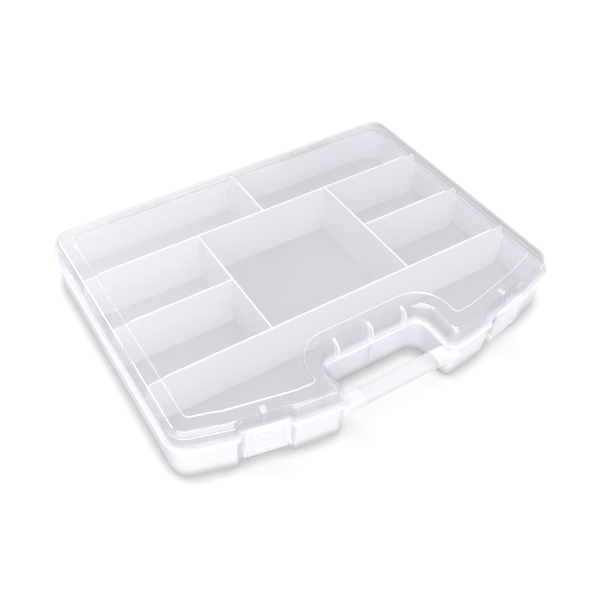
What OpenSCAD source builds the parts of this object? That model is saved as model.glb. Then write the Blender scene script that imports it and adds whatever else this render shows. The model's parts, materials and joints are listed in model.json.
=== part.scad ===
// Carry case for photo prints and craft parts: a tray with eight compartments, a clear lid hinged
// at the back, two swing latches on the bowed front, and a grip bar across the recess between them.
// +X is right, +Y is towards the hinge, +Z is up. The origin is on the table, under the middle
// of the case. Plan sizes are counted from the crown of the bowed front, then shifted to the origin.

/* [Case] */
// Width over the flange
case_w = 370; // [350:1:390]
// Depth of the flange, from the crown of the bow to the straight back
case_d = 286; // [280:1:300]
// Height of the closed case
case_h = 55; // [53:0.5:60]
// Height where tray and lid meet
parting_z = 38.3; // [37:0.1:40]
// Radius of the bowed front
bow_r = 562; // [520:1:640]
// Radius of the four outer corners
corner_r = 19; // [17:0.5:22]

/* [Walls] */
// Wall of the tray and the lid
wall = 1.8; // [1.5:0.1:2.1]
// Thickness of the tray's floor
floor_t = 2.2; // [1.8:0.1:3]
// Thickness of the flange on either side of the parting line
flange_t = 2.1; // [1.8:0.1:2.4]
// How far the tray's flange stands out from its wall
tray_overhang = 2; // [1.6:0.1:2.4]
// How far the lid's flange stands out from its wall
lid_overhang = 3.2; // [2.8:0.1:3.6]
// Draft of the walls over their height
draft = 1; // [0.6:0.1:1.2]
// Radius of the lid's shoulder
shoulder_r = 4.5; // [3.5:0.1:5]
// Height of the step round the lid's raised panel
panel_step = 0.8; // [0.5:0.1:1.2]
// Distance from the flange edge to the raised panel
panel_inset = 19.5; // [18:0.5:21]

/* [Handle recess] */
// Half width of the recess at the flange
recess_x = 48; // [46:0.5:52]
// Depth of the recess at the flange
recess_y = 43.3; // [42:0.1:46]
// Radius of the recess's inner corners
recess_r = 9; // [7:0.5:11]
// Radius of the front corners of the lobes beside the recess
lobe_r = 10; // [9:0.5:11]
// Front of the grip bar behind the crown of the bow
grip_front = 1.2; // [0.8:0.1:2]
// Depth of the grip bar
grip_depth = 15; // [14:0.1:16]
// Height of the grip bar
grip_height = 9; // [8:0.1:10]
// Underside of the grip bar above the table
grip_z = 26; // [24:0.1:27]
// Half length of the bar between the sockets
grip_half = 35; // [32:0.5:38]

/* [Dividers] */
// Cross walls, counted from the crown of the bow: front, middle and back
cross_y = [86.5, 150.4, 213.6];
// Half width of the centre compartment
centre_x = 67.8; // [60:0.1:76]
// Thickness of a divider at its top
divider_top_t = 1.4; // [1.2:0.1:1.8]
// Thickness of a divider at the floor
divider_foot_t = 2; // [1.8:0.1:2.4]

/* [Latches] */
// Distance of a latch from the middle, along the width
latch_x = 116.5; // [112:0.5:120]
// Width of the latch plate
latch_w = 35.5; // [34:0.1:36]
// Top edge of the latch plate above the table
latch_top = 49.5; // [48:0.1:50]
// Height of the latch's pivot above the table
latch_pivot_z = 18; // [17:0.1:19]

/* [Hinge] */
// Distance of a hinge from the middle, along the width
hinge_x = 95; // [80:1:120]
// Length of a hinge over its five knuckles
hinge_w = 60; // [50:1:70]
// Radius of a hinge knuckle
knuckle_r = 3.2; // [3:0.1:3.4]
// Radius of a hinge pin
pin_r = 1.5; // [1.4:0.1:1.6]

/* [Hidden] */
$fn = 48;

// Segments of a quarter corner in plan and of a bend in the walls' section
corner_steps = 6;
bend_steps = 4;
// Radius below which a plan corner isn't rounded further
least_r = 5;
// Small overlap that fuses two solids of one piece
fuse = 0.05;

// Hinge axis, behind the flange at the parting line
hinge_y = case_d + 1.7;
hinge_gap = 0.4;
knuckle_w = (hinge_w - 4 * hinge_gap) / 5;
running = 0.06;

// The case is shifted so that the origin is under the middle of its bounding box
back_y = hinge_y + knuckle_r;
plan_y = -(grip_front + back_y) / 2;

// Latch notch in the front: half widths at its mouth and floor, and its depth at the flange
notch_mouth = 22;
notch_floor = 17.5;
notch_depth = 4;
// A notch side shifts outward by this share of an inset, because its faces stay parallel
notch_shift = tan(atan2(notch_depth, notch_mouth - notch_floor) / 2);
latch_angle = asin(latch_x / bow_r);
// Inset of the lid's wall behind a latch
lid_notch = 8;

// Latch: pivot behind the flange line, plate thickness and face
pivot_v = 2;
pivot_barrel_r = 2.4;
trunnion_r = 1.5;
trunnion_reach = 2.2;
ear_x = 16.2;
plate_face = -0.8;
plate_t = 1.6;
hook_reach = 1.4;

// Translucent bluish plastic, and the clear lid
tray_colour = [0.86, 0.87, 0.93, 0.6];
lid_colour = [0.95, 0.96, 0.98, 0.25];
steel_colour = [0.78, 0.78, 0.8];

// Arc about a centre, in even steps
function arc(centre, r, from, to, steps) =
    [for (i = [0 : steps]) let (a = from + (to - from) * i / steps) centre + r * [cos(a), sin(a)]];

// Point of the bowed front at an angle from its crown, inset by d
function bow_point(a, d) = [(bow_r - d) * sin(a), bow_r - (bow_r - d) * cos(a)];

// Height of the centre of a circle of radius r that touches the inset bow from inside
function bow_centre_y(x, r, d) = bow_r - sqrt(pow(bow_r - d - r, 2) - x * x);

// Point in the frame of a latch: u along the front, v into the case
function at_latch(u, v) = bow_point(latch_angle, 0)
    + u * [cos(latch_angle), sin(latch_angle)] + v * [-sin(latch_angle), cos(latch_angle)];

// Right half of the outline inset by d, from the middle of the recess round to the back.
// notch is the inset of the floor of the latch notch.
function half_outline(d, notch) =
    let (
        lobe = max(lobe_r - d, least_r),
        corner = max(corner_r - d, least_r),
        lobe_x = recess_x + d + lobe,
        lobe_y = bow_centre_y(lobe_x, lobe, d),
        corner_x = case_w / 2 - d - corner,
        front_y = bow_centre_y(corner_x, corner, d),
        spread = notch_shift * d
    ) concat(
        arc([recess_x - recess_r, recess_y - recess_r], recess_r + d, 90, 0, corner_steps),
        arc([lobe_x, lobe_y], lobe, 180, 360 + atan2(lobe_y - bow_r, lobe_x), corner_steps),
        [bow_point(asin(82 / bow_r), d)],
        [at_latch(-notch_mouth - spread, d), at_latch(-notch_floor - spread, notch),
         at_latch(notch_floor + spread, notch), at_latch(notch_mouth + spread, d)],
        [bow_point(asin(152 / bow_r), d)],
        arc([corner_x, front_y], corner, atan2(front_y - bow_r, corner_x), 0, corner_steps),
        arc([corner_x, case_d - d - corner], corner, 0, 90, corner_steps)
    );

// Whole outline, anticlockwise from the middle of the recess
function outline(d, notch) =
    let (half = half_outline(d, notch), n = len(half))
    concat(half, [for (i = [n - 1 : -1 : 0]) [-half[i][0], half[i][1]]]);

// The outline at height z, as points in space
function ring(d, z, notch) = [for (p = outline(d, notch)) [p[0], p[1] + plan_y, z]];

// Ring with the notch as deep as the flange's, and one for the lid's upper part
function wall_ring(d, z) = ring(d, z, notch_depth + d);
function top_ring(d, z) = ring(d, z, max(lid_notch, d));

function reversed(list) = [for (i = [len(list) - 1 : -1 : 0]) list[i]];

// Faces that close a ring of n points: its right side, a strip across the middle and its left side.
// Each is seen whole from its first corner, at the back.
function cap(n, first, upward) =
    let (
        h = n / 2,
        right = [for (i = [0 : h - 2]) first + i],
        left = [for (i = [h + 1 : n - 1]) first + i],
        strip = [for (i = [h - 1, h, n - 1, 0]) first + i]
    ) upward
        ? [concat([first + h - 1], reversed(right)), reversed(strip),
           concat([first + h], reversed(left))]
        : [concat([first + h - 1], right), strip, concat([first + h], left)];

// Closed solid through a list of rings, with flat ends
module loft(rings) {
    n = len(rings[0]);
    sides = [for (i = [0 : len(rings) - 2], j = [0 : n - 1]) let (k = (j + 1) % n)
        [i * n + j, (i + 1) * n + j, (i + 1) * n + k, i * n + k]];
    ends = concat(cap(n, 0, false), cap(n, (len(rings) - 1) * n, true));
    polyhedron([for (r = rings, p = r) p], concat(sides, ends), convexity = 10);
}

// A solid drawn for the right side, moved to the plan position and mirrored for the left
module side(s) {
    mirror([s < 0 ? 1 : 0, 0, 0]) children();
}

module both_sides() {
    for (s = [-1, 1]) side(s) children();
}

// Moves a solid from the frame of the right latch: +X along the front, +Y into the case
module latch_place() {
    p = bow_point(latch_angle, 0);
    translate([p[0], p[1] + plan_y, 0]) rotate([0, 0, latch_angle]) children();
}

// Bar along X with the given section, from x0 to x1
module along_x(x0, x1) {
    translate([x0, 0, 0]) rotate([90, 0, 90]) linear_extrude(x1 - x0) children();
}

// Section with rounded corners, drawn from its lower left corner
module round_section(w, h, r) {
    translate([r, r]) offset(r) square([w - 2 * r, h - 2 * r]);
}

// Tray shell

foot_r = 2.5;
foot_inset = tray_overhang + draft;
rim_z = parting_z - flange_t;
rim_bevel = 0.7;
inner_top = tray_overhang + wall;
fillet_r = 5;

// Section of the tray's inside, from the floor up to the parting line: inset and height
function cavity_section() = concat(
    arc([inner_top + draft + fillet_r, floor_t + fillet_r], fillet_r, 270, 180, bend_steps),
    [[inner_top, parting_z]]);

module tray_outside() {
    loft(concat(
        [for (p = arc([foot_inset + foot_r, foot_r], foot_r, 270, 180, bend_steps))
            wall_ring(p[0], p[1])],
        [wall_ring(tray_overhang, rim_z), wall_ring(0, rim_z),
         wall_ring(0, parting_z - rim_bevel), wall_ring(rim_bevel, parting_z)]
    ));
}

module tray_cavity() {
    loft(concat(
        [for (p = cavity_section()) wall_ring(p[0], p[1])],
        [wall_ring(inner_top, parting_z + 1)]
    ));
}

// Dividers. They stand on the floor, between the tray's walls and each other's drafted faces.

divider_z = case_h - wall - 0.4;
// Insets where a divider's end clears the lid: at the parting line, under the shoulder and on top
step_z = parting_z - 1;
step_d = inner_top + draft * (parting_z - step_z) / (parting_z - floor_t - fillet_r);
end_d = [7, 7.6, 10.5];
shoulder_end_z = 47.5;
end_rise_z = divider_z - 1.6;
// A divider reaches its full height under the raised panel
margin_end_d = panel_inset + 2.3;

// Side view of the end that meets a case wall, from the floor up. edge is where its flange ends.
function wall_end(edge) = concat(
    [for (p = cavity_section()) if (p[1] < step_z) [edge - p[0], p[1]]],
    [[edge - step_d, step_z], [edge - end_d[0], step_z], [edge - end_d[1], shoulder_end_z],
     [edge - end_d[2], end_rise_z], [edge - margin_end_d, end_rise_z],
     [edge - margin_end_d - 2, divider_z]]);

// Side view of the end that meets another divider, whose middle is at x, from the floor up
function butt_end(x, towards) = [
    [x + towards * divider_foot_t / 2, floor_t],
    [x + towards * divider_top_t / 2, divider_z]
];

// Drafted wall along X with the given side view
module divider(right_end, left_end) {
    foot = divider_foot_t / 2;
    top = divider_top_t / 2;
    intersection() {
        along_x(-case_w / 2, case_w / 2)
            polygon([[-foot, floor_t], [foot, floor_t], [top, divider_z], [-top, divider_z]]);
        rotate([90, 0, 0]) linear_extrude(2 * divider_foot_t, center = true)
            polygon(concat(right_end, reversed(left_end)));
    }
}

module across(y) {
    color(tray_colour) translate([0, y + plan_y, 0]) children();
}

module full_cross_divider(y) {
    across(y) divider(wall_end(case_w / 2), [for (p = wall_end(case_w / 2)) [-p[0], p[1]]]);
}

module side_cross_divider() {
    across(cross_y[1]) divider(wall_end(case_w / 2), butt_end(centre_x, 1));
}

module centre_divider() {
    half = (cross_y[2] - cross_y[0]) / 2;
    across(cross_y[0] + half) translate([centre_x, 0, 0]) rotate([0, 0, 90])
        divider(butt_end(half, -1), butt_end(-half, 1));
}

module back_row_divider() {
    across(cross_y[2]) rotate([0, 0, 90]) divider(wall_end(case_d - cross_y[2]), butt_end(0, 1));
}

// Small moulded ring on the floor of the left front compartment
module floor_ring() {
    translate([-52, 72 + plan_y, floor_t - fuse]) difference() {
        cylinder(h = 0.6, r = 5);
        translate([0, 0, -fuse]) cylinder(h = 1, r = 4);
    }
}

// Rib at the middle of the recess: a fin outside the tray's wall and a short web inside it
rib_t = 1.2;
rib_reach = 15;

module recess_rib() {
    web_d = foot_inset + wall / 2;
    along_x(-rib_t / 2, rib_t / 2)
        translate([recess_y + plan_y, 0]) polygon([
            [web_d, foot_r], [0.3, rim_z / 2], [0.3, rim_z + fuse], [web_d, rim_z + fuse],
            [web_d, step_z], [end_d[0], step_z], [end_d[1], shoulder_end_z],
            [end_d[2], end_rise_z], [rib_reach, end_rise_z], [rib_reach, floor_t / 2],
            [web_d, floor_t / 2]
        ]);
}

// Hinge

// Start of each knuckle of a hinge, counted from its left end
function knuckle_x(i) = hinge_x - hinge_w / 2 + i * (knuckle_w + hinge_gap);

module hinge_axis(x0, length, r) {
    translate([x0, hinge_y + plan_y, parting_z]) rotate([0, 90, 0]) cylinder(h = length, r = r);
}

// Knuckles with the web that carries them; rise is the web's height, below the axis if negative
module knuckles(which, rise, web_y) {
    edge = rise > 0 ? 1 : -1;
    for (i = which) {
        hinge_axis(knuckle_x(i), knuckle_w, knuckle_r);
        along_x(knuckle_x(i), knuckle_x(i) + knuckle_w)
            polygon([for (p = [[hinge_y + knuckle_r * 0.94, edge * knuckle_r * 0.34],
                               [web_y, rise], [web_y, 0], [hinge_y, 0]])
                [p[0] + plan_y, p[1] + parting_z]]);
    }
}

// Room for the knuckles of the other half
module knuckle_relief(which) {
    for (i = which)
        hinge_axis(knuckle_x(i) - hinge_gap, knuckle_w + 2 * hinge_gap, knuckle_r + 0.5);
}

module pin_bores(which, r) {
    for (i = which)
        hinge_axis(knuckle_x(i) - hinge_gap / 2, knuckle_w + hinge_gap, r);
}

tray_knuckles = [0, 2, 4];
lid_knuckles = [1, 3];

module hinge_pin() {
    color(steel_colour) hinge_axis(knuckle_x(0), hinge_w, pin_r);
}

// Ears that carry a latch's trunnions, inside the notch
module latch_ears() {
    ear_t = 2.4;
    ear_r = 3;
    both_sides() along_x(ear_x, ear_x + ear_t) {
        translate([pivot_v, latch_pivot_z]) circle(r = ear_r);
        translate([pivot_v, latch_pivot_z - ear_r])
            square([tray_overhang + notch_depth, 2 * ear_r]);
    }
}

// Sockets for the ends of the grip bar, standing out of the lobes
socket_end = recess_x + 8;
tenon_t = 2;

module socket_section(margin) {
    translate([grip_front + plan_y + margin, grip_z + margin])
        round_section(grip_depth - 2 * margin, grip_height - 2 * margin, 3.5 - margin);
}

module sockets() {
    both_sides() along_x(grip_half, socket_end) socket_section(0);
}

module base_tray() {
    color(tray_colour) {
        difference() {
            union() {
                tray_outside();
                sockets();
                both_sides() latch_place() latch_ears();
                both_sides() knuckles(tray_knuckles, -14, case_d - tray_overhang - wall / 2);
            }
            tray_cavity();
            both_sides() along_x(grip_half - 1, recess_x + 0.5) socket_section(tenon_t);
            both_sides() knuckle_relief(lid_knuckles);
            both_sides() pin_bores(tray_knuckles, pin_r);
            both_sides() latch_place() translate([-ear_x - 4, pivot_v, latch_pivot_z])
                rotate([0, 90, 0]) cylinder(h = 2 * ear_x + 8, r = trunnion_r + running);
        }
        recess_rib();
        floor_ring();
    }
}

// Lid

margin_z = case_h - panel_step;
skirt_in = lid_overhang + wall;
shoulder_z = margin_z - shoulder_r;
shoulder_d = lid_overhang + draft + shoulder_r;

module lid_shell() {
    inner_r = shoulder_r - wall;
    loft(concat(
        [top_ring(panel_inset + 1, case_h - wall), top_ring(panel_inset, margin_z - wall)],
        [for (p = arc([shoulder_d, shoulder_z], inner_r, 90, 180, bend_steps))
            top_inner(p[0], p[1])],
        [ring(skirt_in, parting_z, lid_notch + wall), wall_ring(0, parting_z),
         wall_ring(0, parting_z + flange_t - 0.4), wall_ring(0.4, parting_z + flange_t),
         ring(lid_overhang, parting_z + flange_t, lid_notch - 0.6)],
        [for (p = arc([shoulder_d, shoulder_z], shoulder_r, 180, 90, bend_steps))
            top_ring(p[0], p[1])],
        [top_ring(panel_inset - 1.2, margin_z), top_ring(panel_inset, case_h)]
    ));
}

// Inner ring of the lid's upper part, one wall behind the notch
function top_inner(d, z) = ring(d, z, max(lid_notch + wall, d));

// Fin at the recess, from the edge of the lid's flange up over its shoulder
fin_x = [-33, 0, 33];

module fin(thickness) {
    rise = shoulder_z - parting_z - flange_t;
    along_x(-thickness / 2, thickness / 2)
        polygon([[lid_overhang + wall / 2, 0], [0.3, -0.1], [0.3, rise - 2], [1.3, rise + 0.6],
                 [3.4, rise + 2.9], [6.4, rise + shoulder_r - 0.1],
                 [lid_overhang + draft + shoulder_r, rise + shoulder_r - 0.1],
                 [lid_overhang + draft + shoulder_r - 1, rise + shoulder_r - 1],
                 [lid_overhang + draft + wall / 2, rise]]);
}

// Lip of the lid's flange inside the notch, under the latch's hook
module notch_lip() {
    lip_w = 24;
    lip_front = hook_reach + 0.35;
    translate([-lip_w / 2, lip_front, parting_z + 0.2])
        cube([lip_w, notch_depth + 1 - lip_front, flange_t - 0.5]);
}

// Rib over the notch's edge, which the latch's tab lies against
module latch_rib() {
    rib_w = 4.6;
    along_x(-rib_w / 2, rib_w / 2)
        polygon([[lid_notch - 2.4, parting_z + flange_t - fuse], [lid_notch + 1, parting_z + 1],
                 [lid_notch + 1, margin_z - 1], [lid_notch + 6.5, margin_z - 1],
                 [lid_notch + 6, margin_z + 0.5], [lid_notch - 0.2, margin_z + 0.5],
                 [lid_notch - 0.8, margin_z - 0.4]]);
}

module clear_lid() {
    color(lid_colour) difference() {
        union() {
            lid_shell();
            both_sides() latch_place() {
                latch_rib();
                notch_lip();
            }
            for (x = fin_x)
                translate([x, recess_y + plan_y, parting_z + flange_t]) fin(x == 0 ? rib_t : 1.6);
            both_sides() knuckles(lid_knuckles, 9, case_d - lid_overhang - wall / 2);
        }
        both_sides() knuckle_relief(tray_knuckles);
        both_sides() pin_bores(lid_knuckles, pin_r + running);
    }
}

// Latch: a plate with grip ribs, a barrel with trunnions and a hook over the lid's lip

barrel_w = 2 * (ear_x - hinge_gap);

module latch_plate() {
    rotate([90, 0, 0]) translate([0, 0, -plate_face - plate_t]) linear_extrude(plate_t) {
        translate([-latch_w / 2, latch_pivot_z + 5])
            round_section(latch_w, latch_top - latch_pivot_z - 5, 3);
        translate([-barrel_w / 2, latch_pivot_z - 1.5]) square([barrel_w, 12]);
    }
}

module grip_ribs() {
    rib_h = 1;
    rib_w = 21;
    for (i = [0 : 3])
        along_x(-rib_w / 2 + 0.5, rib_w / 2 + 0.5)
            translate([plate_face, 21.5 + 7.4 * i])
                polygon([[fuse, -2.4], [-rib_h, -1.6], [-rib_h, 1.6], [fuse, 2.4]]);
}

module latch() {
    inner = plate_face + plate_t;
    hook_w = 26;
    hook_z = parting_z + flange_t + 0.4;
    color(tray_colour) latch_place() {
        latch_plate();
        grip_ribs();
        translate([-barrel_w / 2, pivot_v, latch_pivot_z]) rotate([0, 90, 0])
            cylinder(h = barrel_w, r = pivot_barrel_r);
        translate([-ear_x - trunnion_reach, pivot_v, latch_pivot_z]) rotate([0, 90, 0])
            cylinder(h = 2 * (ear_x + trunnion_reach), r = trunnion_r);
        along_x(-hook_w / 2, hook_w / 2)
            polygon([[inner - fuse, hook_z], [hook_reach, hook_z], [hook_reach, hook_z + 0.8],
                     [inner - fuse, hook_z + 1.8]]);
    }
}

// Grip bar with a tenon at each end, which the sockets hold
module grip_bar() {
    color(tray_colour) {
        along_x(-grip_half, grip_half) socket_section(0);
        along_x(-recess_x, recess_x) socket_section(tenon_t);
    }
}

base_tray();
full_cross_divider(cross_y[0]);  // front_cross_divider
side(-1) side_cross_divider();  // left_cross_divider
side(1) side_cross_divider();  // right_cross_divider
full_cross_divider(cross_y[2]);  // back_cross_divider
side(-1) centre_divider();  // left_centre_divider
side(1) centre_divider();  // right_centre_divider
back_row_divider();
clear_lid();
side(-1) latch();  // left_latch
side(1) latch();  // right_latch
grip_bar();
side(-1) hinge_pin();  // left_hinge_pin
side(1) hinge_pin();  // right_hinge_pin
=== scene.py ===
"""Photo keeper case: the frosted tray, the clear lid, latches, grip bar and hinge pins, on a white table."""
import json
import math

import bmesh
import bpy
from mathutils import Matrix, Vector

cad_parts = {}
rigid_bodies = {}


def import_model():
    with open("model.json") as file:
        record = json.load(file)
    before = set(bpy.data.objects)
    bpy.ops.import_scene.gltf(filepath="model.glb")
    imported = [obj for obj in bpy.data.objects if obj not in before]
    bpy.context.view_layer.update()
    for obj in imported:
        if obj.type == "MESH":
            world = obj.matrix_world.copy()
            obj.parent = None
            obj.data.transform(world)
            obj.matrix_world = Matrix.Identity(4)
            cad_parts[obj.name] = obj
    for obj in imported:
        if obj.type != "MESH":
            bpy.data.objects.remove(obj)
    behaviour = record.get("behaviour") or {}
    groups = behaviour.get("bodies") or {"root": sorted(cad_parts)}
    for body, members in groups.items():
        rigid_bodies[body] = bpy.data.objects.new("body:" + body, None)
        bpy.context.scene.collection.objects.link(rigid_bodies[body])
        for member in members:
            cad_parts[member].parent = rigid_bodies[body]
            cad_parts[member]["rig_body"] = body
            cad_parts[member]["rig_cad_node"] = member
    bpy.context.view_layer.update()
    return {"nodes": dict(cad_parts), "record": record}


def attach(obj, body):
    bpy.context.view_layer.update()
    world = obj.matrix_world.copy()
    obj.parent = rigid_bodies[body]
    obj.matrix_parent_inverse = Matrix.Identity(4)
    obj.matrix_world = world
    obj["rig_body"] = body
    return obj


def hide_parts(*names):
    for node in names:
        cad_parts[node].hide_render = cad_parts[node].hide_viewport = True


MM = 0.001

# The photograph's camera: a point on the lid's level that it looks at, its direction and its lens
VIEW_TARGET = Vector((-58.6, -28.15, 55.0)) * MM
VIEW_AZIMUTH = math.radians(-30.79)
VIEW_ELEVATION = math.radians(46.51)
VIEW_DISTANCE = 615.6 * MM
FOCAL_PIXELS = 753.7
FRAME_PIXELS = 600
SENSOR_MM = 36.0
CENTRE_PIXEL = (262.06, 297.1)

DAYLIGHT = 0.62

# Colours, as they render under plain light
TRAY_COLOUR = (0.88, 0.88, 0.915)
# Painted shade: the tray's floor is greyer than its walls, for the shade inside the case
FLOOR_PAINTED_SHADE = (0.64, 0.635, 0.655)
# Painted light: the dividers are the tray's plastic made lighter and milkier, for the light they catch from
# the front
DIVIDER_PAINTED_LIGHT_COLOUR = (0.965, 0.97, 0.985)
LATCH_COLOUR = (0.93, 0.935, 0.96)
# Painted shade: the grip bar is the tray's plastic made darker, to tone down the light on it
GRIP_PAINTED_SHADE_COLOUR = (0.7, 0.705, 0.73)
# Painted highlight along the dividers' top edges
RIM_PAINTED_HIGHLIGHT = (1.0, 1.0, 1.0)
LID_WHITE = (0.95, 0.955, 0.97)
# Painted shade: the grey of the lid's shoulder and side walls
LID_SIDE_PAINTED_SHADE = (0.66, 0.66, 0.69)
LID_TINT = (0.985, 0.985, 0.99)
LID_EDGE_TINT = (0.84, 0.84, 0.86)
MILKY_TINT = (0.9, 0.9, 0.92)
STEEL = (0.62, 0.62, 0.64)
TABLE = (0.73, 0.73, 0.73)
TABLE_WHITE = 0.35

# The table close beside the case is made darker, which deepens the contact shadow: its colour there,
# how far away the case counts, and the openness at which the darkening starts and is full
TABLE_CONTACT = (0.36, 0.36, 0.365)
CONTACT_REACH = 14 * MM
CONTACT_START = 0.85
CONTACT_FULL = 0.5

# Share of a lamp's light that passes one face of the lid, and of a milky piece
LID_SHADOW = (0.97, 0.97, 0.975)
MILKY_SHADOW = (0.68, 0.68, 0.69)

# Heights on the tray between which the floor's painted shade gives way to the walls' milky white
FLOOR_TOP = 2.6 * MM
WALL_FOOT = 9 * MM

# Share of light that a face of the lid turns back: on top seen square on, more when seen edge on, and more
# on the shoulder and side walls, where the lamps' highlights show over a painted grey shade
LID_HAZE = 0.06
# Painted reflection toward the back left
LID_BACK_PAINTED_REFLECTION = 0.3
LID_EDGE = 0.45
LID_SIDES = 0.3
LID_EDGE_BLEND = 0.3
SHOULDER_TOP = 54.15 * MM
# Past this, the lid's right wall takes its edge tint all over: painted shade
RIGHT_WALL_PAINTED_SHADE = 172 * MM

# That share is small, so the gloss is made stronger to leave the highlights as bright
LID_GLOSS = 2.2

# Painted reflection: the lid's haze grows toward the back left, over this distance and with this lean to the
# left
BACK_REFLECTION_REACH = 0.22
BACK_REFLECTION_LEAN = 0.6

# Features per metre of the slow and fine noises, and the roughness that the slow ones spread over
LID_CLOUDS = 9.0
LID_WAVES = 30.0
LID_ROUGHNESS = (0.05, 0.12)
MILKY_CLOUDS = 14.0
MILKY_GRAIN = 900.0
MILKY_ROUGHNESS = (0.3, 0.45)
WIRE_GRAIN = 500.0
WIRE_ROUGHNESS = (0.22, 0.38)

# Share of the light that one face of each milky piece scatters, and the height above which a painted
# highlight whitens the dividers' rims
TRAY_COVER = 0.6
DIVIDER_COVER = 0.8
LATCH_COVER = 0.45
GRIP_COVER = 0.6
DIVIDER_HIGHLIGHT_HEIGHT = 52.3 * MM

# Painted highlights on the lid: the step round its panel, its flange, a band round its shoulder bend that is
# brightest at the front left, and the fins at the recess
STEP_MIDDLE = 54.6 * MM
STEP_HALF = 0.45 * MM
STEP_HIGHLIGHT = 0.55
FLANGE_TOP = 40.4 * MM
FLANGE_HIGHLIGHT = 0.45
BEND_MIDDLE = 49.4 * MM
BEND_HALF = 0.9 * MM
BEND_HIGHLIGHT = 0.3
FIN_PLACES = (0, 33 * MM)
FIN_HALF = 0.8 * MM
FIN_BACK = -93 * MM
FIN_HIGHLIGHT = 0.6

# Width of the small rounding on each moulded piece, and the angle over which an edge stays sharp
MOULD_ROUNDING = 0.25 * MM
SHARP_ANGLE = math.radians(28)


def add_camera():
    """The camera at the photograph's angle, framed as the photograph is."""
    data = bpy.data.cameras.new("camera")
    data.sensor_width = SENSOR_MM
    data.lens = FOCAL_PIXELS * SENSOR_MM / FRAME_PIXELS
    data.shift_x = (FRAME_PIXELS / 2 - CENTRE_PIXEL[0]) / FRAME_PIXELS
    data.shift_y = (CENTRE_PIXEL[1] - FRAME_PIXELS / 2) / FRAME_PIXELS
    data.clip_start = 0.01
    direction = Vector((
        math.sin(VIEW_AZIMUTH) * math.cos(VIEW_ELEVATION),
        -math.cos(VIEW_AZIMUTH) * math.cos(VIEW_ELEVATION),
        math.sin(VIEW_ELEVATION),
    ))
    camera = bpy.data.objects.new("camera", data)
    camera.location = VIEW_TARGET + direction * VIEW_DISTANCE
    camera.rotation_euler = (math.pi / 2 - VIEW_ELEVATION, 0, VIEW_AZIMUTH)
    bpy.context.scene.collection.objects.link(camera)
    bpy.context.scene.camera = camera


def add_far_softbox(name, azimuth, elevation, width, strength):
    """Soft light from far away: azimuth runs from the back towards the right, width is its angle."""
    data = bpy.data.lights.new(name, "SUN")
    data.angle = math.radians(width)
    data.energy = strength
    lamp = bpy.data.objects.new(name, data)
    lamp.rotation_euler = (math.radians(90 - elevation), 0, math.pi - math.radians(azimuth))
    lamp.location = (0, 0, 1)
    bpy.context.scene.collection.objects.link(lamp)


# Node helpers

def new_material(name):
    """An empty material, with its tree and its output."""
    material = bpy.data.materials.new(name)
    material.use_nodes = True
    tree = material.node_tree
    tree.nodes.clear()
    return material, tree, tree.nodes.new("ShaderNodeOutputMaterial")


def add_node(tree, kind, **sockets):
    """A shader node with the given input values, named with underscores for spaces."""
    node = tree.nodes.new("ShaderNode" + kind)
    for key, value in sockets.items():
        node.inputs[key.replace("_", " ")].default_value = value
    return node


def noise(tree, scale, detail=2.0, roughness=0.5):
    """Noise over the piece's own coordinates, in features per metre."""
    place = add_node(tree, "TexCoord")
    texture = add_node(tree, "TexNoise", Scale=scale, Detail=detail, Roughness=roughness)
    tree.links.new(place.outputs["Object"], texture.inputs["Vector"])
    return texture.outputs["Fac"]


def spread(tree, value, low, high):
    """The value from 0 to 1 spread over low to high."""
    scaled = add_node(tree, "MapRange", From_Min=0.3, From_Max=0.7, To_Min=low, To_Max=high)
    tree.links.new(value, scaled.inputs["Value"])
    return scaled.outputs["Result"]


def axes(tree):
    """The piece's own coordinates, by axis."""
    place = add_node(tree, "TexCoord")
    parts = add_node(tree, "SeparateXYZ")
    tree.links.new(place.outputs["Object"], parts.inputs["Vector"])
    return parts.outputs


def math_node(tree, operation, first, second=None):
    """The result of an operation on sockets and numbers."""
    node = add_node(tree, "Math")
    node.operation = operation
    for slot, value in zip(node.inputs, (first, second)):
        if isinstance(value, (int, float)):
            slot.default_value = value
        elif value is not None:
            tree.links.new(value, slot)
    return node.outputs["Value"]


def ramp(tree, value, start, end, height=1.0):
    """0 where the value is at start, rising to height at end."""
    node = add_node(tree, "MapRange", From_Min=start, From_Max=end, To_Max=height)
    tree.links.new(value, node.inputs["Value"])
    return node.outputs["Result"]


def bump(tree, height, strength, distance):
    """A bumped normal from a height."""
    node = add_node(tree, "Bump", Strength=strength, Distance=distance)
    tree.links.new(height, node.inputs["Height"])
    return node.outputs["Normal"]


def shown_rays(tree, *rays):
    """1 for rays of any of the given kinds, and 0 for others."""
    path = add_node(tree, "LightPath")
    total = path.outputs[rays[0]]
    for ray in rays[1:]:
        total = math_node(tree, "MAXIMUM", total, path.outputs[ray])
    return total


def mixed(tree, factor, first, second):
    """Two shaders mixed by a number or a socket."""
    mix = add_node(tree, "MixShader")
    if isinstance(factor, float):
        mix.inputs[0].default_value = factor
    else:
        tree.links.new(factor, mix.inputs[0])
    tree.links.new(first, mix.inputs[1])
    tree.links.new(second, mix.inputs[2])
    return mix.outputs["Shader"]


# Materials

def see_through(tree, factor, body, tint, shadow, edge=None, edge_tint=None):
    """A shader laid over clear plastic: factor is the share that it covers, and edge says where the
    plastic takes its edge tint. Lamps shine through both."""
    film = add_node(tree, "BsdfTransparent", Color=(*tint, 1))
    if edge:
        blend = add_node(tree, "MixRGB", Color1=(*tint, 1), Color2=(*edge_tint, 1))
        tree.links.new(edge, blend.inputs["Fac"])
        tree.links.new(blend.outputs["Color"], film.inputs["Color"])
    seen = mixed(tree, factor, film.outputs["BSDF"], body)
    lit = add_node(tree, "BsdfTransparent", Color=(*shadow, 1))
    return mixed(tree, shown_rays(tree, "Is Shadow Ray"), seen, lit.outputs["BSDF"])


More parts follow.
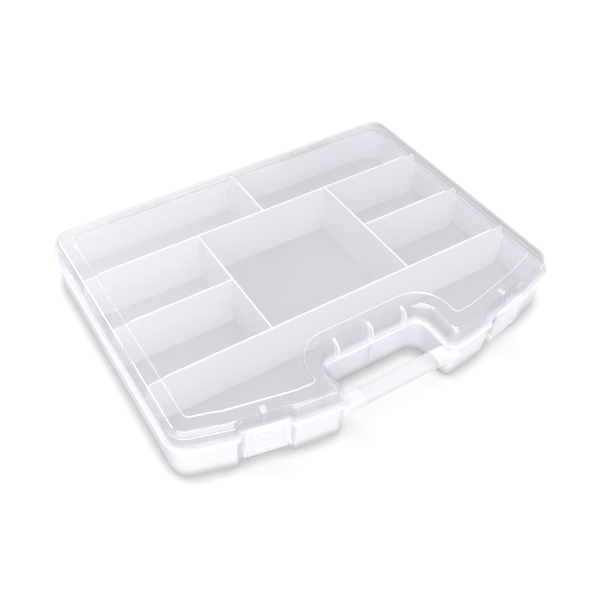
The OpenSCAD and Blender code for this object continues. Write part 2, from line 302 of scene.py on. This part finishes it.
def clear_plastic():
    """The lid's clear plastic: glossy, with haze where it is seen edge-on, a painted reflection toward the
    back left, painted highlights on its step, flange, shoulder bend and fins, and painted grey shade on its
    sides.
    """
    material, tree, output = new_material("clear_plastic")
    body = add_node(tree, "BsdfPrincipled", IOR=LID_GLOSS, Coat_Weight=1.0, Coat_IOR=LID_GLOSS)
    clouds = noise(tree, LID_CLOUDS, 3.0)
    tree.links.new(spread(tree, clouds, *LID_ROUGHNESS), body.inputs["Roughness"])
    tree.links.new(bump(tree, noise(tree, LID_WAVES), 0.05, 0.3 * MM), body.inputs["Normal"])
    place = axes(tree)
    facing = add_node(tree, "LayerWeight", Blend=LID_EDGE_BLEND)
    # Painted reflection: the lid's haze grows toward the back left
    towards_back = math_node(
        tree, "SUBTRACT", place["Y"], math_node(tree, "MULTIPLY", place["X"], BACK_REFLECTION_LEAN)
    )
    haze_and_painted_reflection = math_node(
        tree, "MAXIMUM",
        math_node(tree, "MULTIPLY", facing.outputs["Facing"], LID_EDGE),
        math_node(tree, "ADD", LID_HAZE, ramp(tree, towards_back, 0.0, BACK_REFLECTION_REACH, LID_BACK_PAINTED_REFLECTION)),
    )
    # Painted shade: the shoulder and side walls below the panel turn grey
    sides = ramp(tree, place["Z"], SHOULDER_TOP, SHOULDER_TOP - 0.3 * MM)
    haze_and_painted_reflection = math_node(tree, "MAXIMUM", haze_and_painted_reflection, math_node(tree, "MULTIPLY", sides, LID_SIDES))
    # Painted highlights whiten the lid's colour and raise its share
    highlight_share = painted_highlights(tree)
    shade = math_node(tree, "SUBTRACT", sides, math_node(tree, "MULTIPLY", highlight_share, 2.0))
    colour = add_node(tree, "MixRGB", Color1=(*LID_WHITE, 1), Color2=(*LID_SIDE_PAINTED_SHADE, 1))
    tree.links.new(shade, colour.inputs["Fac"])
    tree.links.new(colour.outputs["Color"], body.inputs["Base Color"])
    most = math_node(tree, "MAXIMUM", haze_and_painted_reflection, highlight_share)
    # Painted shade: the lid's right wall is tinted darker
    right_wall_shade = ramp(tree, place["X"], RIGHT_WALL_PAINTED_SHADE, RIGHT_WALL_PAINTED_SHADE + 2 * MM)
    edge = math_node(tree, "MAXIMUM", facing.outputs["Facing"], right_wall_shade)
    tree.links.new(
        see_through(tree, most, body.outputs["BSDF"], LID_TINT, LID_SHADOW, edge, LID_EDGE_TINT),
        output.inputs["Surface"],
    )
    return material


def above_floor(tree):
    """0 on the floor, rising to 1 a little way up the walls."""
    return ramp(tree, axes(tree)["Z"], FLOOR_TOP, WALL_FOOT)


def painted_highlights(tree):
    """Share of painted highlight on the lid's step, flange, shoulder bend and fins."""
    place = axes(tree)
    off_step = math_node(
        tree, "ABSOLUTE", math_node(tree, "SUBTRACT", place["Z"], STEP_MIDDLE)
    )
    white = ramp(tree, off_step, STEP_HALF, 0.0, STEP_HIGHLIGHT)
    flange = ramp(tree, place["Z"], FLANGE_TOP, FLANGE_TOP - 0.3 * MM, FLANGE_HIGHLIGHT)
    white = math_node(tree, "MAXIMUM", white, flange)
    off_bend = math_node(
        tree, "ABSOLUTE", math_node(tree, "SUBTRACT", place["Z"], BEND_MIDDLE)
    )
    # Painted highlight: the bend's streak is full strength at the front left
    front_left = math_node(
        tree, "MULTIPLY",
        ramp(tree, place["X"], -128 * MM, -133 * MM), ramp(tree, place["Y"], -95 * MM, -105 * MM),
    )
    bend_highlight = math_node(tree, "MAXIMUM", front_left, BEND_HIGHLIGHT)
    bend = math_node(tree, "MULTIPLY", ramp(tree, off_bend, BEND_HALF, 0.0), bend_highlight)
    white = math_node(tree, "MAXIMUM", white, bend)
    in_front = ramp(tree, place["Y"], FIN_BACK, FIN_BACK - 0.5 * MM, FIN_HIGHLIGHT)
    for x in FIN_PLACES:
        off_fin = math_node(
            tree, "ABSOLUTE", math_node(tree, "SUBTRACT", math_node(tree, "ABSOLUTE", place["X"]), x)
        )
        fin = math_node(
            tree, "MULTIPLY", ramp(tree, off_fin, FIN_HALF + 0.3 * MM, FIN_HALF), in_front
        )
        white = math_node(tree, "MAXIMUM", white, fin)
    return white


def milky_plastic(name, colour, cover, floor_painted_shade=None, highlight_from=None):
    """Milky plastic: cover is the share of the light that one face scatters. Where a floor colour is given,
    a painted shade greys the floor, and where a rim height is given, a painted highlight whitens the rim
    above it."""
    material, tree, output = new_material(name)
    body = add_node(tree, "BsdfPrincipled", Base_Color=(*colour, 1), IOR=1.49)
    # Painted shade: the floor is greyer than the walls above it
    if floor_painted_shade:
        blend = add_node(tree, "MixRGB", Color1=(*floor_painted_shade, 1), Color2=(*colour, 1))
        tree.links.new(above_floor(tree), blend.inputs["Fac"])
        tree.links.new(blend.outputs["Color"], body.inputs["Base Color"])
    # Painted highlight: the rim above the given height is whitened and fully covering
    if highlight_from:
        rim = ramp(tree, axes(tree)["Z"], highlight_from, highlight_from + 0.3 * MM)
        blend = add_node(tree, "MixRGB", Color1=(*colour, 1), Color2=(*RIM_PAINTED_HIGHLIGHT, 1))
        tree.links.new(rim, blend.inputs["Fac"])
        tree.links.new(blend.outputs["Color"], body.inputs["Base Color"])
        cover = math_node(tree, "MAXIMUM", ramp(tree, rim, 0.0, 1.0), cover)
    clouds = noise(tree, MILKY_CLOUDS, 4.0)
    tree.links.new(spread(tree, clouds, *MILKY_ROUGHNESS), body.inputs["Roughness"])
    grain = noise(tree, MILKY_GRAIN, 3.0)
    tree.links.new(bump(tree, grain, 0.15, 0.05 * MM), body.inputs["Normal"])
    tree.links.new(
        see_through(tree, cover, body.outputs["BSDF"], MILKY_TINT, MILKY_SHADOW),
        output.inputs["Surface"],
    )
    return material


def drawn_steel():
    """Bright wire, drawn along its length."""
    material, tree, output = new_material("drawn_steel")
    body = add_node(tree, "BsdfPrincipled", Base_Color=(*STEEL, 1), Metallic=1.0)
    tree.links.new(spread(tree, noise(tree, WIRE_GRAIN), *WIRE_ROUGHNESS), body.inputs["Roughness"])
    tree.links.new(body.outputs["BSDF"], output.inputs["Surface"])
    return material


def white_table():
    """The table: pale to light, and near white to the camera, with a part of the shadow kept."""
    material, tree, output = new_material("white_table")
    top = add_node(tree, "BsdfDiffuse")
    near = add_node(tree, "AmbientOcclusion", Color=(1, 1, 1, 1), Distance=CONTACT_REACH)
    shade = ramp(tree, near.outputs["AO"], CONTACT_START, CONTACT_FULL)
    blend = add_node(tree, "MixRGB", Color1=(*TABLE, 1), Color2=(*TABLE_CONTACT, 1))
    tree.links.new(shade, blend.inputs["Fac"])
    tree.links.new(blend.outputs["Color"], top.inputs["Color"])
    glow = add_node(tree, "Emission", Color=(1, 1, 1, 1), Strength=1.0)
    seen = shown_rays(tree, "Is Camera Ray", "Is Glossy Ray", "Is Transmission Ray")
    share = math_node(tree, "MULTIPLY", seen, TABLE_WHITE)
    tree.links.new(
        mixed(tree, share, top.outputs["BSDF"], glow.outputs["Emission"]), output.inputs["Surface"]
    )
    return material


def set_world():
    """Even daylight for the object, and white where the camera or gloss sees past the table."""
    world = bpy.data.worlds.new("studio")
    bpy.context.scene.world = world
    world.use_nodes = True
    tree = world.node_tree
    tree.nodes.clear()
    light = add_node(tree, "Background", Color=(1, 1, 1, 1), Strength=DAYLIGHT)
    white = add_node(tree, "Background", Color=(1, 1, 1, 1), Strength=1.0)
    seen = shown_rays(tree, "Is Camera Ray", "Is Transmission Ray")
    output = add_node(tree, "OutputWorld")
    tree.links.new(
        mixed(tree, seen, light.outputs["Background"], white.outputs["Background"]),
        output.inputs["Surface"],
    )


def add_table(material):
    """A wide flat table under the case."""
    reach = 6.0
    mesh = bpy.data.meshes.new("table")
    corners = [(-reach, -reach, 0), (reach, -reach, 0), (reach, reach, 0), (-reach, reach, 0)]
    mesh.from_pydata(corners, [], [(0, 1, 2, 3)])
    table = bpy.data.objects.new("table", mesh)
    table.data.materials.append(material)
    bpy.context.scene.collection.objects.link(table)


# Pieces

def moulded(node, name, material, rounding=MOULD_ROUNDING):
    """The CAD node as a moulding: welded, smooth over its curves, with its sharp edges rounded."""
    piece = frame["nodes"][node].copy()
    piece.data = piece.data.copy()
    piece.name = name
    piece.parent = None
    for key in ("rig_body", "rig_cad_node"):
        if key in piece:
            del piece[key]
    bpy.context.scene.collection.objects.link(piece)
    cell = bmesh.new()
    cell.from_mesh(piece.data)
    bmesh.ops.remove_doubles(cell, verts=cell.verts, dist=0.002 * MM)
    bmesh.ops.dissolve_limit(
        cell, angle_limit=math.radians(0.5), verts=cell.verts, edges=cell.edges
    )
    cell.to_mesh(piece.data)
    cell.free()
    piece.data.materials.clear()
    piece.data.materials.append(material)
    bevel = piece.modifiers.new("rounding", "BEVEL")
    bevel.width = rounding
    bevel.segments = 2
    bevel.limit_method = "ANGLE"
    bevel.angle_limit = SHARP_ANGLE
    bevel.use_clamp_overlap = True
    finished = bpy.data.meshes.new_from_object(
        piece.evaluated_get(bpy.context.evaluated_depsgraph_get())
    )
    piece.modifiers.clear()
    piece.data = finished
    finished.name = name
    finished.shade_smooth()
    finished.set_sharp_from_angle(angle=SHARP_ANGLE)
    weighted = piece.modifiers.new("even_shading", "WEIGHTED_NORMAL")
    weighted.keep_sharp = True
    shaded = bpy.data.meshes.new_from_object(
        piece.evaluated_get(bpy.context.evaluated_depsgraph_get())
    )
    piece.modifiers.clear()
    piece.data = shaded
    shaded.name = name
    return piece


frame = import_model()
bpy.context.scene.view_settings.view_transform = "Standard"

add_camera()
set_world()
add_far_softbox("overhead", 10, 81, 32, 0.9)
add_far_softbox("low_rim", -16, 43, 11, 0.5)
add_far_softbox("high_rim", -18, 55, 11, 0.5)
add_far_softbox("front_fill", -150, 32, 90, 2.25)
add_table(white_table())

LID = clear_plastic()
TRAY = milky_plastic("tray_plastic", TRAY_COLOUR, TRAY_COVER, FLOOR_PAINTED_SHADE)
# The dividers' plastic is a lighter copy of the tray's: painted light
DIVIDERS = milky_plastic("divider_plastic", DIVIDER_PAINTED_LIGHT_COLOUR, DIVIDER_COVER, highlight_from=DIVIDER_HIGHLIGHT_HEIGHT)
LATCH = milky_plastic("latch_plastic", LATCH_COLOUR, LATCH_COVER)
# The grip's plastic is a darker copy of the tray's: painted shade
GRIP = milky_plastic("grip_plastic", GRIP_PAINTED_SHADE_COLOUR, GRIP_COVER)
WIRE = drawn_steel()

for node, name, material, slot in (
    ("base_tray", "tray_moulding", TRAY, "tray_plastic"),
    ("front_cross_divider", "front_cross_wall", DIVIDERS, "tray_plastic"),
    ("left_cross_divider", "left_cross_wall", DIVIDERS, "tray_plastic"),
    ("right_cross_divider", "right_cross_wall", DIVIDERS, "tray_plastic"),
    ("back_cross_divider", "back_cross_wall", DIVIDERS, "tray_plastic"),
    ("left_centre_divider", "left_centre_wall", DIVIDERS, "tray_plastic"),
    ("right_centre_divider", "right_centre_wall", DIVIDERS, "tray_plastic"),
    ("back_row_divider", "back_row_wall", DIVIDERS, "tray_plastic"),
    ("clear_lid", "lid_moulding", LID, "lid_plastic"),
    ("left_latch", "left_latch_moulding", LATCH, "latch_plastic"),
    ("right_latch", "right_latch_moulding", LATCH, "latch_plastic"),
    ("grip_bar", "grip_moulding", GRIP, "tray_plastic"),
):
    body = next(b for b, nodes in frame["record"]["behaviour"]["bodies"].items() if node in nodes)
    piece = moulded(node, name, material)
    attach(piece, body)
    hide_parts(node)

for node in ("left_hinge_pin", "right_hinge_pin"):
    for place in frame["nodes"][node].material_slots:
        place.material = WIRE
